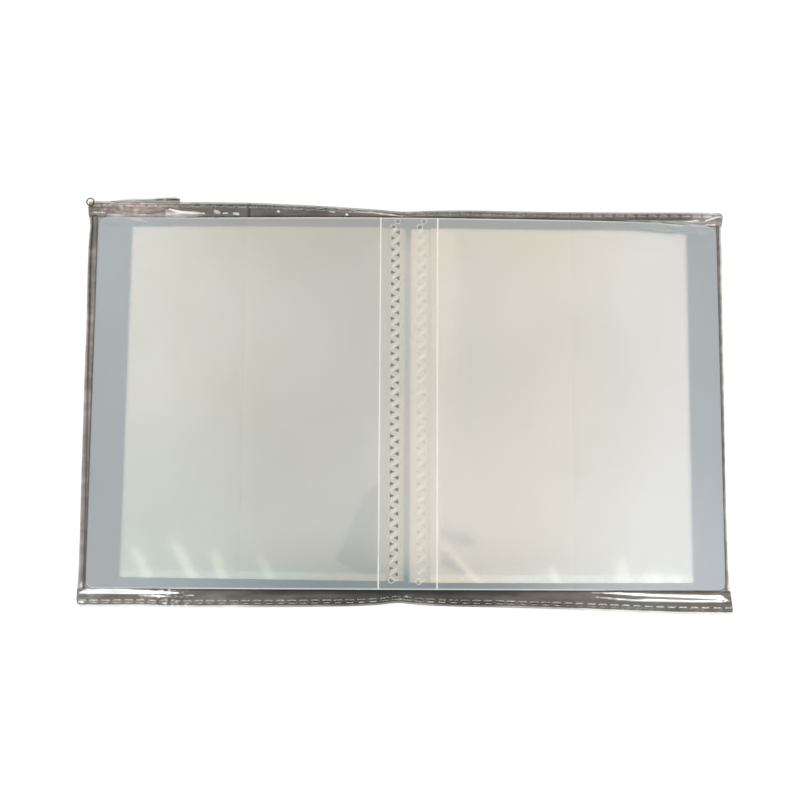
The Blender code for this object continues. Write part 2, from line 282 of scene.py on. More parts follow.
def shift_x(piece, amount):
    """Moves both faces of a slab along x by an amount for each point of its grid."""
    co = coordinates(piece)
    co[:, 0] += np.tile(amount.reshape(-1), 2) * MM
    piece.data.vertices.foreach_set("co", co.reshape(-1))


def places(piece):
    """Where the vertices of a piece lie in x and y."""
    x, y, _ = coordinates(piece).T.astype(float) / MM
    return x, y


def paint(piece, **numbers):
    """Numbers for each vertex, or one for all, which the material reads by name."""
    for name, values in numbers.items():
        layer = piece.data.attributes.new(name, "FLOAT", "POINT")
        layer.data.foreach_set("value", np.full(len(layer.data), values, np.float32))


def settle(piece, body, node=None):
    """Gives a piece the body that it moves with, and hides the node that it replaces."""
    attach(piece, body)
    if node:
        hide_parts(node)


def settle_pocket(piece, body, node):
    """A pocket film, which is so clear that it throws no shadow."""
    piece.visible_shadow = False
    settle(piece, body, node)


def bend_at_fold(piece):
    """Bakes the piece's placement into its mesh."""
    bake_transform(piece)


# Materials


def fill(node, inputs):
    """Sets inputs of a node, each to a constant or to the output of another node."""
    for socket, value in inputs.items():
        if isinstance(value, bpy.types.NodeSocket):
            node.id_data.links.new(value, node.inputs[socket])
        else:
            node.inputs[socket].default_value = value


def add_node(tree, kind, inputs, output, **settings):
    """Adds a node, and gives one of its outputs."""
    node = tree.nodes.new(f"ShaderNode{kind}")
    for name, value in settings.items():
        setattr(node, name, value)
    fill(node, inputs)
    return node.outputs[output]


def place_node(tree):
    return add_node(tree, "TexCoord", {}, "Object")


def noise_node(tree, scale, detail=3.0, stretch=None):
    """A noise texture in object space. stretch squeezes it along x, y and z."""
    place = place_node(tree)
    if stretch:
        place = add_node(tree, "Mapping", {"Vector": place, "Scale": stretch}, "Vector")
    return add_node(tree, "TexNoise", {"Vector": place, "Scale": scale, "Detail": detail}, "Fac")


def ramp_node(tree, factor, stops):
    ramp = tree.nodes.new("ShaderNodeValToRGB")
    while len(ramp.color_ramp.elements) < len(stops):
        ramp.color_ramp.elements.new(0.5)
    for element, (position, colour) in zip(ramp.color_ramp.elements, stops):
        element.position = position
        element.color = colour
    tree.links.new(factor, ramp.inputs["Fac"])
    return ramp.outputs["Color"]


def range_node(tree, factor, low_in, high_in, low_out, high_out):
    ends = {"From Min": low_in, "From Max": high_in, "To Min": low_out, "To Max": high_out}
    return add_node(tree, "MapRange", {"Value": factor, **ends}, "Result")


def math_node(tree, operation, first, second):
    inputs = {0: first, 1: second}
    return add_node(tree, "Math", inputs, "Value", operation=operation, use_clamp=True)


def mix_node(tree, factor, first, second, blend="MIX"):
    inputs = {"Factor": factor, "A": first, "B": second}
    return add_node(tree, "Mix", inputs, "Result", data_type="RGBA", blend_type=blend)


def attribute_node(tree, name):
    return add_node(tree, "Attribute", {}, "Fac", attribute_name=name)


def bump_node(tree, height, strength, distance):
    inputs = {"Height": height, "Strength": strength, "Distance": distance}
    return add_node(tree, "Bump", inputs, "Normal")


def tinted(tree, colour, tints):
    """Mixes colours over each other, each as strongly as the number that its name was painted with."""
    for name, tint in tints.items():
        colour = mix_node(tree, attribute_node(tree, name), colour, tint)
    return colour


def new_material(name):
    material = bpy.data.materials.new(name)
    material.use_nodes = True
    return material, material.node_tree


def material_with(name, roughness, alpha=1.0, coat=0.0):
    material, tree = new_material(name)
    shader = tree.nodes["Principled BSDF"]
    inputs = {"Roughness": roughness, "Alpha": alpha, "Coat Weight": coat, "Coat Roughness": 0.08}
    fill(shader, inputs)
    return material, tree, shader


def page_film(name, spine_colour, middle_colour, edge_colour, foot_colour):
    """Clear pocket film with a milky veil, which adds up over the leaves of a bank."""
    material, tree, shader = material_with(name, 0.3)
    across = attribute_node(tree, "across")
    colour = ramp_node(tree, across, [(0.0, spine_colour), (0.45, middle_colour), (1.0, edge_colour)])
    colour = tinted(tree, colour, {"foot": foot_colour})
    cloud = noise_node(tree, 12.0, 1.0)
    shade = ramp_node(tree, cloud, [(0.3, rgb(246, 246, 245)), (0.7, rgb(255, 255, 255))])
    colour = mix_node(tree, 1.0, colour, shade, "MULTIPLY")
    fill(shader, {"Base Color": colour, "Alpha": attribute_node(tree, "veil")})
    return material


def weld_film(name, spine_colour, pit_dark, pit_pale, bead_colour):
    """The top film along the welds: see-through, darker in the pressed pits, whitened on the beads."""
    material, tree, shader = material_with(name, 0.3)
    cloud = noise_node(tree, 500.0, 2.0)
    pit_colour = ramp_node(tree, cloud, [(0.35, pit_dark), (0.65, pit_pale)])
    colour = tinted(tree, spine_colour, {"pit": pit_colour, "bead": bead_colour})
    fill(shader, {"Base Color": colour, "Alpha": attribute_node(tree, "veil")})
    return material


def frosted_sheet():
    """The cover sheet: blue-grey and finely grained, with a painted highlight along its cut edges and
    painted shade and painted light over it.
    """
    material, tree, shader = material_with("frosted_sheet", 0.42, alpha=0.93)
    cloud = noise_node(tree, 11.0, 3.0)
    colour = ramp_node(tree, cloud, [(0.35, rgb(163, 169, 171)), (0.65, rgb(172, 177, 181))])
    # Painted light and shade among these tints: the edge line is a painted highlight, the dark blue-grey
    # is painted shade and the light blue-grey is painted light.
    tints = {
        "dusk": rgb(126, 137, 140),
        "warmth": rgb(146, 143, 133),
        "glow": rgb(196, 191, 178),
        "shine": rgb(184, 188, 193),
        "edge": rgb(222, 225, 224),
    }
    grain = bump_node(tree, noise_node(tree, 1800.0, 2.0), 0.06, 0.00005)
    fill(shader, {"Base Color": tinted(tree, colour, tints), "Normal": grain})
    return material


def speckled(name, roughness, alpha, scale, dark, pale, stretch=None):
    """A plain material whose colour varies finely between two tones."""
    material, tree, shader = material_with(name, roughness, alpha)
    colour = ramp_node(tree, noise_node(tree, scale, 2.0, stretch), [dark, pale])
    fill(shader, {"Base Color": colour})
    return material


def border_film():
    """Several layers of soft film over each other: smoky where they lie close, pale at creases."""
    material, tree, shader = material_with("border_film", 0.13, coat=0.8)
    streaks = noise_node(tree, 220.0, 3.0, (0.3, 1.0, 1.0))
    streaked = range_node(tree, streaks, 0.3, 0.7, -0.08, 0.08)
    tone = math_node(tree, "ADD", attribute_node(tree, "shade"), streaked)
    stops = [
        (0.0, rgb(28, 26, 24)),
        (0.25, rgb(70, 66, 61)),
        (0.5, rgb(118, 113, 107)),
        (0.75, rgb(168, 166, 161)),
        (1.0, rgb(236, 237, 235)),
    ]
    blush = attribute_node(tree, "blush")
    colour = mix_node(tree, blush, ramp_node(tree, tone, stops), rgb(255, 230, 228), "MULTIPLY")
    haze = noise_node(tree, 45.0, 2.0)
    haze = ramp_node(tree, haze, [(0.4, rgb(247, 252, 250)), (0.65, rgb(255, 248, 244))])
    inputs = {
        "Base Color": mix_node(tree, 1.0, colour, haze, "MULTIPLY"),
        "Alpha": range_node(tree, streaks, 0.3, 0.7, 0.88, 0.98),
        "Normal": bump_node(tree, noise_node(tree, 420.0, 3.0, (0.5, 1.0, 1.0)), 0.2, 0.0002),
    }
    fill(shader, inputs)
    return material


def clear_film(name, colour_low, colour_high, alpha_low, alpha_high):
    """Single soft film, with faint rub marks, and pale painted wrinkles that are partly whitened film
    and partly a painted highlight.
    """
    material, tree, shader = material_with(name, 0.14, coat=0.3)
    rub = noise_node(tree, 60.0, 4.0, (1.0, 0.4, 1.0))
    colour = ramp_node(tree, rub, [(0.3, colour_low), (0.7, colour_high)])
    wrinkle = attribute_node(tree, "wrinkle")
    whitened = math_node(tree, "MULTIPLY", wrinkle, 3.0)
    alpha = range_node(tree, rub, 0.35, 0.7, alpha_low, alpha_high)
    inputs = {
        "Base Color": mix_node(tree, whitened, colour, rgb(228, 231, 227)),
        "Alpha": math_node(tree, "ADD", alpha, wrinkle),
        "Normal": bump_node(tree, noise_node(tree, 90.0, 3.0), 0.2, 0.0004),
    }
    fill(shader, inputs)
    return material


cycles = bpy.context.scene.cycles
cycles.transparent_max_bounces = 96
cycles.max_bounces = 6
cycles.diffuse_bounces = 3

# Colours by the spine, in the middle, at the outer edge and at the foot
page_films = {
    -1: page_film(
        "page_film_left", rgb(232, 224, 208), rgb(238, 229, 207), rgb(253, 249, 234), rgb(228, 240, 228)
    ),
    1: page_film(
        "page_film_right", rgb(240, 230, 214), rgb(252, 240, 221), rgb(252, 247, 242), rgb(250, 250, 244)
    ),
}
# Colours of the plain film, of the pits from dark to pale, and of the beads
weld_films = {
    -1: weld_film(
        "weld_film_left", rgb(232, 224, 208), rgb(98, 98, 90), rgb(124, 122, 112), rgb(240, 234, 224)
    ),
    1: weld_film(
        "weld_film_right", rgb(240, 230, 214), rgb(166, 166, 154), rgb(186, 180, 168), rgb(252, 244, 234)
    ),
}
frosted = frosted_sheet()
# The same sheet where it is creased: stretched thin and white
creased = speckled(
    "creased_sheet", 0.5, 1.0, 900.0, (0.3, rgb(204, 205, 200)), (0.7, rgb(222, 222, 216)),
    stretch=(1.0, 0.1, 1.0),
)
border = border_film()
sleeve_film = clear_film("sleeve_film", rgb(170, 176, 180), rgb(190, 194, 196), 0.015, 0.045)
outer_film = clear_film("outer_film", rgb(138, 141, 142), rgb(162, 165, 166), 0.26, 0.4)
dark_spot = speckled(
    "weld_spot_dark", 0.35, 0.85, 700.0, (0.35, rgb(134, 141, 138)), (0.65, rgb(156, 161, 157))
)
white_ring = speckled(
    "weld_rim", 0.35, 0.7, 700.0, (0.35, rgb(226, 226, 222)), (0.65, rgb(246, 246, 242))
)


# Pages: each leaf is a pouch of two films that follows the waves of its bank


def bank_wave(side, x, y):
    """How far the films of one bank stand off their flat places, as a share of their height."""
    rise = 0.1 * wander(x, y, 60, 45, 3 + side)
    rise += 0.05 * wander(x, y, 22, 30, 8 + side)
    height = np.clip(y + PAGE_Y, 0, None)
    rise += 0.2 * pucker_and_highlight(side, x, y)
    rise += 0.05 * np.exp(-height / 5) * wander(x, y, 5, 7, 11 + side)
    return rise


# Puckers that run up from the bottom seals; they lift the films, and they are painted lighter in the
# veil as highlights. For each: place at the foot, place at the top, height, half width and strength
FOOT_PUCKERS = {
    -1: [(111.4, 117.7, 13, 4.0, 1.0), (91.9, 100.9, 16, 4.0, 1.0), (79.4, 83.3, 12, 4.2, 0.75),
         (58.8, 63.9, 10, 3.4, 0.55)],
    1: [(64.6, 61.6, 7, 3.2, 0.6), (93.8, 92.5, 11, 5.0, 0.5), (106.7, 107.5, 5, 8.0, 0.6),
        (116.6, 115.5, 4.5, 4.0, 0.6), (30.6, 15.5, 16, 3.0, 0.6)],
}
# The corners of patches where a dark reflection is painted onto the pages as a thinner veil
DARK_REFLECTIONS = {
    -1: [[(-31.7, -70.0), (-19.2, -76.0), (-12.8, -77.6), (-12.8, -38.5), (-17.0, -38.5)]],
    1: [[(14.3, -72.2), (21.6, -74.8), (25.9, -74.0), (18.6, -67.0), (14.3, -64.9)],
        [(14.3, -61.5), (29.0, -63.0), (29.5, -61.5), (24.0, -57.0), (14.3, -55.0)]],
}


def pucker_and_highlight(side, x, y):
    """The crests of the puckers, from 0 to 1: they lift the films, and a highlight is painted on them in
    the veil.
    """
    height = np.clip(above_foot(side, side * x, y), 0, None)
    total = np.zeros_like(x)
    for foot, top, rise, half, strength in FOOT_PUCKERS[side]:
        up = height / rise
        crest = bump(side * x, foot + (top - foot) * up, half)
        total = np.maximum(total, strength * crest * until(up, 0.55, 1.3))
    return total


def dark_reflection(side, x, y):
    """1 inside the painted dark reflections of one bank, with soft edges."""
    total = np.zeros_like(x)
    for corners in DARK_REFLECTIONS[side]:
        inside = np.ones_like(x)
        for (x0, y0), (x1, y1) in zip(corners, corners[1:] + corners[:1]):
            depth = (x1 - x0) * (y - y0) - (y1 - y0) * (x - x0)
            depth /= math.hypot(x1 - x0, y1 - y0)
            inside = np.minimum(inside, between(depth, -0.8, 0.8))
        total = np.maximum(total, inside)
    return total


# The banks are a little askew in their cover: the edges of each page
PAGE_TOP = {
    -1: [(0, 77.0), (60, 76.7), (124, 75.95)],
    1: [(0, 76.7), (60, 76.5), (103, 76.4), (124, 74.8)],
}
PAGE_FOOT = {-1: [(0, -78.8), (60, -78.1), (124, -77.4)], 1: [(0, -79.3), (60, -79.2), (124, -78.9)]}
PAGE_SIDE = {-1: [(-80, 123.1), (0, 122.85), (80, 122.4)], 1: [(-80, 123.4), (0, 123.6), (80, 123.8)]}


def page_rows():
    """Shares of a page's height, closest together by the bottom seal."""
    height = 2 * PAGE_Y
    rows = [0.0, 0.5 * BOTTOM_SEAL, 0.95 * BOTTOM_SEAL, 1.05 * BOTTOM_SEAL]
    while rows[-1] < height - ROW_STEP:
        rows.append(rows[-1] + min(ROW_STEP, 1.2 + 0.12 * rows[-1]))
    return np.array(rows + [height - 0.6, height]) / height


def above_foot(side, out, y):
    return y - through(PAGE_FOOT[side], out)


def page_grid(side, columns, rows, top_shift):
    """Points of a page: x columns at the foot, and y from the foot to the open top."""
    out, share = np.meshgrid(columns[::side], rows)
    foot = through(PAGE_FOOT[side], out)
    y = foot + share * (through(PAGE_TOP[side], out) + top_shift - foot)
    return side * out, y


def add_leaf(side, number):
    """One pouch, creased where the spine folds, with its veil and tints."""
    node = f"leaf_{WORD[side]}_{number:02d}"
    base = (low(node)[2] + high(node)[2]) / 2
    crease = SCORE_X + CREASE_WIDTH * np.array([-1.6, -0.5, 0.5, 1.6])
    outer = spread(crease[-1] + 1.5, LEAF_EDGE_X - 1, 1.9)
    columns = np.concatenate([[ROOT_X, ROOT_X + 1.2], crease, outer, [LEAF_EDGE_X]])
    x, y = page_grid(side, columns, page_rows(), 0.3 * math.sin(1.7 * number))
    edge = through(PAGE_SIDE[side], y) + 0.5 * math.sin(2.3 * number + side)
    out = ROOT_X + (side * x - ROOT_X) * (edge - ROOT_X) / (LEAF_EDGE_X - ROOT_X)
    x = side * out
    highest = high(f"leaf_{WORD[side]}_{LEAVES:02d}")[2]
    sunk = 0.3 * (base - FLANGE_BOTTOM) * (1 - FLANGE_TOP / highest)
    rise = (base - FLAP_TOP) * bank_wave(side, x, y)
    middle = base + rise - sunk * until(out, ROOT_X, ROOT_X + 8)
    inside = between(out, ROOT_X, ROOT_X + 6) * until(out, edge - 5, edge)
    inside *= between(above_foot(side, out, y), BOTTOM_SEAL, 3 * BOTTOM_SEAL)
    gap = 0.02 + 0.09 * inside
    name = f"page_{WORD[side]}_{number:02d}"
    piece = pouch(name, x, y, middle + gap, middle - gap, page_films[side])
    x, y = places(piece)
    out = side * x
    above = above_foot(side, out, y)
    low_half = until(y, -PAGE_Y, 0.1 * PAGE_Y)
    extra = 0.35 * until(above, BOTTOM_SEAL, 1.6 * BOTTOM_SEAL) + 0.25 * bump(above, 2, 1.3)
    extra += 0.3 * bump(out, SCORE_X, 1.6 * CREASE_WIDTH)
    extra += (0.3 if side < 0 else 0.12) * between(out, 0.4 * LEAF_EDGE_X, LEAF_EDGE_X)
    extra += 0.1 * side * low_half * until(out, 30, 90)
    # The veil is thicker on the pucker crests as a painted highlight, and thinner on the patches as a
    # painted dark reflection.
    extra += 1.3 * pucker_and_highlight(side, x, y) - 0.4 * dark_reflection(side, x, y)
    extra += (0.02 + 0.25 * between(y, -30, 40)) * bump(x, 17, 8)
    seal = until(above, 2 * BOTTOM_SEAL, 4 * BOTTOM_SEAL)
    foot = np.maximum(0.7 * low_half * between(out, 30, LEAF_EDGE_X), 0.85 * seal * between(out, 20, 60))
    across = (out - ROOT_X) / (LEAF_EDGE_X - ROOT_X)
    paint(piece, veil=VEIL[side] * (1 + extra), across=across, foot=foot)
    settle_pocket(piece, f"{WORD[side]}_leaf_{number:02d}", node)


def weld_places():
    """Centres of one bank's welds as (column, y), the columns half a pitch apart."""
    for number in range(WELD_COUNT):
        yield 0, WELD_FIRST + number * WELD_PITCH
        yield 1, WELD_FIRST + (number + 0.5) * WELD_PITCH


def weld_x(side, column):
    middle = side * (FLANGE_OUTER_X - WELD_EDGE[side] - WELD_COLUMN_GAP / 2)
    return middle + (column - 0.5) * WELD_COLUMN_GAP


def from_nearest(y, first):
    """Distance from y to the nearest of the places that repeat at the weld pitch."""
    return y - first - WELD_PITCH * np.round((y - first) / WELD_PITCH)


def weld_pit(side, x, y):
    """1 inside the pressed triangles of one row: column 0 points right, column 1 points left."""
    half, soft = WELD_SIZE / 2, 0.55
    deepest = np.zeros_like(x)
    for column, turn in ((0, 1), (1, -1)):
        along = turn * (x - weld_x(side, column))
        across = np.abs(from_nearest(y, WELD_FIRST + column * WELD_PITCH / 2))
        inside = np.minimum(along + half, (half - along) / 2 - across + 0.15)
        deepest = np.maximum(deepest, between(inside, -0.4 * soft, 0.6 * soft))
    return deepest


def weld_bead(side, x, y):
    """1 on the slanting beads that the welding leaves between the two columns."""
    middle = (weld_x(side, 0) + weld_x(side, 1)) / 2
    slant = from_nearest(y - (x - middle), WELD_FIRST - WELD_PITCH / 4)
    reach = until(np.abs(x - middle), 1.3, 2.1)
    return bump(slant, 0.0, 0.55) * reach


def flange_level(side, x, y, level):
    """Height of a flange film: its own level, dished along the welds, free at the inner edge and
    sinking at the outer edge, where the leaves bend up over it."""
    out = side * x
    dished = 0.25 * bump(out, abs(weld_x(side, 0.5)), 3.4)
    free = 0.3 * until(out, FLANGE_INNER_X, FLANGE_INNER_X + 2.2)
    sinking = 0.66 * between(out, LEAF_ROOT_X - 1.9, LEAF_ROOT_X)
    waves = 0.03 * wander(x, y, 4, 9, 21 + side)
    return level - (level - FLANGE_BOTTOM) * (dished + free + sinking) + waves


def add_flange(side):
    """The welded inner edges of the leaves: thin films pressed together, dished along the welds."""
    nearest, furthest = FLANGE_STAGGER[side]
    parts = []
    for number in range(LEAVES - 1):
        inner = nearest + (furthest - nearest) * number / (LEAVES - 1)
        x, y = page_grid(side, spread(inner, ROOT_X, 0.9), page_rows(), 0.3 * math.sin(1.7 * number))
        middle = flange_level(side, x, y, FLANGE_BOTTOM + FLANGE_FILM * (number + 0.5))
        name = f"flange_film_{number}"
        parts.append(pouch(name, x, y, middle + 0.03, middle - 0.03, page_films[side]))
    piece = join(parts, f"welded_edges_{WORD[side]}")
    paint(piece, veil=VEIL[side], across=0.0, foot=0.0)
    settle_pocket(piece, "spine", f"leaf_flange_{WORD[side]}")


def add_weld_band(side):
    """The uppermost flange film, with the weld triangles pressed into it."""
    columns = spread(FLANGE_STAGGER[side][1], ROOT_X, 0.32)
    x, y = page_grid(side, columns, np.linspace(0, 1, 490), 0.0)
    top = flange_level(side, x, y, FLANGE_TOP - 0.3 * FLANGE_FILM)
    top += BEAD_HEIGHT * weld_bead(side, x, y) - WELD_DEPTH * weld_pit(side, x, y)
    piece = slab(f"weld_band_{WORD[side]}", x, y, top, top - 0.05, weld_films[side])
    x, y = places(piece)
    pit = weld_pit(side, x, y)
    bead = weld_bead(side, x, y) * (1 - pit)
    pit_veil, bead_veil = WELD_VEIL[side]
    veil = np.clip(VEIL[side] + pit_veil * pit + bead_veil * bead, 0, 0.95)
    paint(piece, pit=pit, bead=bead, veil=veil)
    settle_pocket(piece, "spine", f"leaf_flange_{WORD[side]}")


def join(parts, name):
    """One piece from several, kept as separate shells in one mesh."""
    edit = bmesh.new()
    for part in parts:
        edit.from_mesh(part.data)
    material = parts[0].data.materials[0]
    for part in parts:
        bpy.data.objects.remove(part, do_unlink=True)
    return from_bmesh(edit, name, material)


def pressed_triangle(x, y, points_right):
    """One weld on the spine itself: a flat triangle with softened edges whose tip points along X."""
    half = WELD_SIZE / 2
    turn = half if points_right else -half
    corners = [(x - turn, y - half), (x + turn, y), (x - turn, y + half)]
    edit = bmesh.new()
    face = edit.faces.new([edit.verts.new((u * MM, v * MM, COVER_TOP * MM)) for u, v in corners])
    face.normal_update()
    if face.normal.z > 0:
        face.normal_flip()
    lifted = bmesh.ops.extrude_face_region(edit, geom=[face])
    raised = [item for item in lifted["geom"] if isinstance(item, bmesh.types.BMVert)]
    bmesh.ops.translate(edit, verts=raised, vec=(0, 0, SPOT_HEIGHT * MM))
    bmesh.ops.recalc_face_normals(edit, faces=edit.faces)
    rims = [edge for edge in edit.edges if abs(edge.verts[0].co.z - edge.verts[1].co.z) < 1e-7]
    softened = 0.4 * SPOT_HEIGHT * MM
    bmesh.ops.bevel(edit, geom=rims, offset=softened, segments=2, affect="EDGES", clamp_overlap=True)
    spot = from_bmesh(edit, "spot", dark_spot)
    spot.data.set_sharp_from_angle(angle=math.radians(40))
    return spot


def end_weld_places():
    """The side, column and y of each weld past the ends of the pages. All but the lower left one lie
    a little further out than their row's pitch."""
    for side in WORD:
        for column, y in weld_places():
            if abs(y) > PAGE_Y:
                shift = END_WELD_SHIFT if side > 0 or y > 0 else 0.0
                yield side, column, y + math.copysign(shift, y)


def add_end_welds():
    """The welds past the ends of the pages: pressed triangles, and white rims pushed up round them."""
    spots, rims = [], []
    for side, column, y in end_weld_places():
        x = weld_x(side, column)
        place = (x, y, COVER_TOP + SPOT_HEIGHT)
        spots.append(pressed_triangle(x, y, column == 0))
        rims.append(torus(place, RING_RADIUS, RING_THICKNESS, 28, 8, white_ring))
    settle(join(spots, "end_welds"), "spine")
    settle(join(rims, "weld_rims"), "spine")


# Cover sheet


def paint_sheet(piece):
    """A painted highlight along the cut edges, stronger on the right; painted shade deepening towards
    the bottom; painted light at the lower right; a warmer tone above; and a lighter tone along the
    spine, which fades towards its ends.
    """
    x, y = places(piece)
    out = np.abs(x)
    ends = 0.85 * until(sheet_reach(x, y) - np.abs(y), 0.25, 0.7)
    sides = np.where(x > 0, 0.4, 0.1) * until(COVER_X - out, 0.2, 0.6)
    middle = until(out, np.where(x > 0, 10, 35), np.where(x > 0, 118, 135))
    spine = until(out, SCORE_X, SCORE_X + 1) * until(np.abs(y), 68, 79)
    paint(
        piece,
        edge=np.maximum(ends, sides),
        dusk=middle * (0.1 + 0.85 * between(-y, 55, COVER_Y)),
        warmth=0.5 * until(out, 70, 130) * between(y, 45, COVER_Y),
        shine=between(x, 40, 125) * between(-y, 10, 72),
        glow=(0.2 + 0.4 * until(out, 1.5, 4)) * spine,
    )


# Distances from the sheet's edge at which its mesh has points
EDGE_STEPS = np.array([0.0, 0.12, 0.3, 0.6, 0.9, 1.4, 2.0, 2.6, 3.2, 4.0, 4.8, 5.6])

# How far the cover's upper edge lies below its corners in the frame, as (place, drop)
TOP_DROP = [
    (-144, 1.3), (-113, 1.27), (-76, 0.8), (-34, 0.2), (0, 0.0), (32, 0.05), (90, 0.45), (107, 0.8),
    (129, 2.1), (142, 2.3),
]


def sheet_drop(end, x):
    """How far the upper edge sinks under the jacket's hem towards its ends."""
    return through(TOP_DROP, x) * (end > 0)


def sheet_reach(x, y):
    """How far the sheet reaches towards the end on which y lies, with its rounded corners."""
    radius = np.where(y > 0, SHEET_CORNER[1], SHEET_CORNER[-1])
    into = np.clip((radius - (COVER_X - np.abs(x))) / radius, 0, 1)
    return COVER_Y - sheet_drop(np.sign(y), x) - radius * (1 - np.sqrt(1 - into**2))


def add_sheet_panel(word, columns, body):
    half = np.concatenate([spread(0, COVER_Y - 8, 9), COVER_Y - EDGE_STEPS[::-1]])
    x, y = np.meshgrid(columns, np.union1d(-half, half))
    y *= sheet_reach(x, y) / COVER_Y
    inside = np.minimum(COVER_X - np.abs(x), sheet_reach(x, y) - np.abs(y))
    softened = 0.2 * until(inside, 0.0, 0.3)
    piece = slab(f"sheet_{word}", x, y, COVER_TOP - softened, COVER_BOTTOM + softened, frosted)
    paint_sheet(piece)
    settle(piece, body, f"cover_{word}")


def add_sheet():
    half = SCORE_WIDTH / 2
    outer = np.concatenate([spread(SCORE_X + half, COVER_X - 8, 9), COVER_X - EDGE_STEPS[::-1]])
    add_sheet_panel("left", -outer[::-1], "left_cover")
    add_sheet_panel("spine", spread(half - SCORE_X, SCORE_X - half, 4), "spine")
    add_sheet_panel("right", outer, "right_cover")


def add_score_line(side):
    """The crease of the sheet, which bends between the spine and one cover."""
    columns = spread(SCORE_X - SCORE_WIDTH / 2, SCORE_X + SCORE_WIDTH / 2, 0.12)
    x, y = np.meshgrid(np.sort(side * columns), spread(-COVER_Y, COVER_Y, 5))
    thinned = 0.12 * bump(np.abs(x), SCORE_X, SCORE_WIDTH / 2)
    piece = slab(f"score_{WORD[side]}", x, y, COVER_TOP - thinned, COVER_BOTTOM + thinned, creased)
    bend_at_fold(piece)


# Jacket border

# How far it reaches in y at x, at its top and bottom end
HEM_EDGE = {}
HEM_EDGE[1] = [
    (-144, 88.25), (-137, 88.5), (-130, 88.4), (-112, 88.4), (-100, 88.5), (-94, 88.6), (-67, 88.5),
    (-49, 87.9), (-31, 87.1), (-13, 86.1), (-3, 85.4), (8, 85.85), (20, 86.2), (50, 86.15), (68, 86.05),
    (90, 86.2), (110, 86.35), (130, 86.55), (143, 86.5),
]
HEM_EDGE[-1] = [
    (-144, 90.1), (-130, 90.15), (-118, 90.0), (-100, 90.25), (-72, 90.2), (-38, 89.9), (-20, 89.5),
    (-12, 89.0), (-4.5, 88.2), (5, 89.0), (20, 89.6), (40, 89.95), (66, 90.6), (92, 91.5), (118, 92.3),
    (143, 92.55),
]
# How far it reaches in x at y, at its left and right side
SIDE_EDGE = {}
SIDE_EDGE[-1] = [
    (-92, 142.3), (-83, 142.25), (-79, 142.1), (-70, 142.0), (-52, 142.1), (-34, 142.3), (-16, 142.35),
    (1, 142.5), (19, 142.5), (32, 142.45), (45, 142.65), (60, 142.85), (67, 142.85), (73, 142.6),
    (77.5, 142.4), (81, 142.9), (85, 143.4), (90, 143.5),
]
SIDE_EDGE[1] = [
    (-92, 141.9), (-88, 141.5), (-82, 140.75), (-76, 140.35), (-70, 140.15), (-55, 140.05), (-43, 140.0),
    (-16, 140.15), (1, 140.4), (20, 140.5), (46, 140.75), (60, 141.0), (68, 141.1), (76, 140.95),
    (80, 141.2), (85, 141.9), (90, 141.9),
]
# Corner radii by end and side
CORNERS = {(1, -1): 2.2, (1, 1): 1.3, (-1, -1): 1.7, (-1, 1): 0.8}
FOLD_STRIP = 1.2
FILM_INSET = 0.15
FILM_CLEARANCE = 0.05
SLEEVE_THICKNESS = 0.12
SLACK_THICKNESS = 0.35
WELD_BAND = 3.6
# Where the sides of the hems are measured
HEM_MIDDLE_Y = 88.0
GLARE_SLOPE = math.tan(math.radians(16.5))

# Stretches of film drawn tight at the slope that mirrors a window, for each end of the jacket; a
# highlight is also painted onto them.
# Each is a run of x, distance past the cover's edge and half width
GLARE = {
    -1: [
        [(-141.6, 1.7, 0.2), (-137.5, 1.1, 1.1), (-125, 1.15, 1.2), (-112.5, 1.35, 1),
         (-98.5, 1.75, 0.35)],
        [(-116, 2.7, 0.2), (-108, 3, 0.45), (-102, 3.2, 0.2)],
        [(-97, 2.6, 0.2), (-92, 2.7, 0.3)],
        [(80, 0.8, 0.15), (92.6, 1.2, 0.6), (110.2, 2, 0.7), (123.3, 2.3, 0.85), (136.5, 2.7, 1.05),
         (140.6, 4.2, 0.3)],
        [(82, 2.7, 0.2), (86, 3.1, 0.35), (91.5, 3.6, 0.45), (98, 4, 0.5), (105.8, 4, 0.62),
         (123.3, 4.35, 0.7), (136.5, 4.45, 0.45), (139, 4.5, 0.2)],
        [(-0.9, 2.8, 0.4), (0.2, 2.9, 0.4)], [(-4, 4.1, 0.35), (-2.4, 4, 0.35)],
        [(-141.5, 5.6, 0.5), (-139.2, 5.7, 0.6)],
    ],
    1: [
        [(-107.5, 3.9, 0.3), (-103.7, 2.8, 0.45), (-95.8, 2.2, 0.45), (-91.5, 1.9, 0.2)],
        [(-87.4, 2.7, 0.8), (-85, 2.4, 0.6)], [(-83.3, 1.9, 0.3), (-81.2, 2, 0.35)],
        [(-78.8, 1.8, 0.5), (-76.4, 1.6, 0.65)], [(-59.3, 2.7, 0.45), (-58.2, 2.6, 0.45)],
        [(-36, 2.9, 0.2), (-33.5, 2.2, 0.3)], [(-28.6, 1.3, 0.45), (-27.5, 1.2, 0.45)],
        [(-25, 2.6, 0.15), (-17, 2.3, 0.3), (-12, 1.7, 0.4), (-3, 0.6, 0.2)],
        [(124.5, 1.4, 0.2), (128, 2.1, 0.35), (131, 2.4, 0.2)],
        [(133.5, 2.2, 0.3), (137.5, 3.6, 0.4), (140.2, 4.4, 0.3)],
        [(134, 0.5, 0.2), (138.8, 0.6, 0.4)],
    ],
}


def side_reach(side, y):
    return through(SIDE_EDGE[side], y)


def hem_inner(end, x):
    """Where the hem starts, just past the edge of the cover."""
    return COVER_Y + 0.06 - sheet_drop(end, x)


def hem_side(end, side):
    return float(side_reach(side, np.array(end * HEM_MIDDLE_Y)))


def hem_outer(end, x):
    """The hem's outer edge, with the jacket's rounded corners."""
    reach = through(HEM_EDGE[end], x)
    for side in (-1, 1):
        radius = CORNERS[end, side]
        into = np.clip((radius - (hem_side(end, side) - side * x)) / radius, 0, 1)
        reach -= radius * (1 - np.sqrt(np.clip(1 - into**2, 0, 1)))
    return reach


def hem_width(end, x):
    return hem_outer(end, x) - hem_inner(end, x)


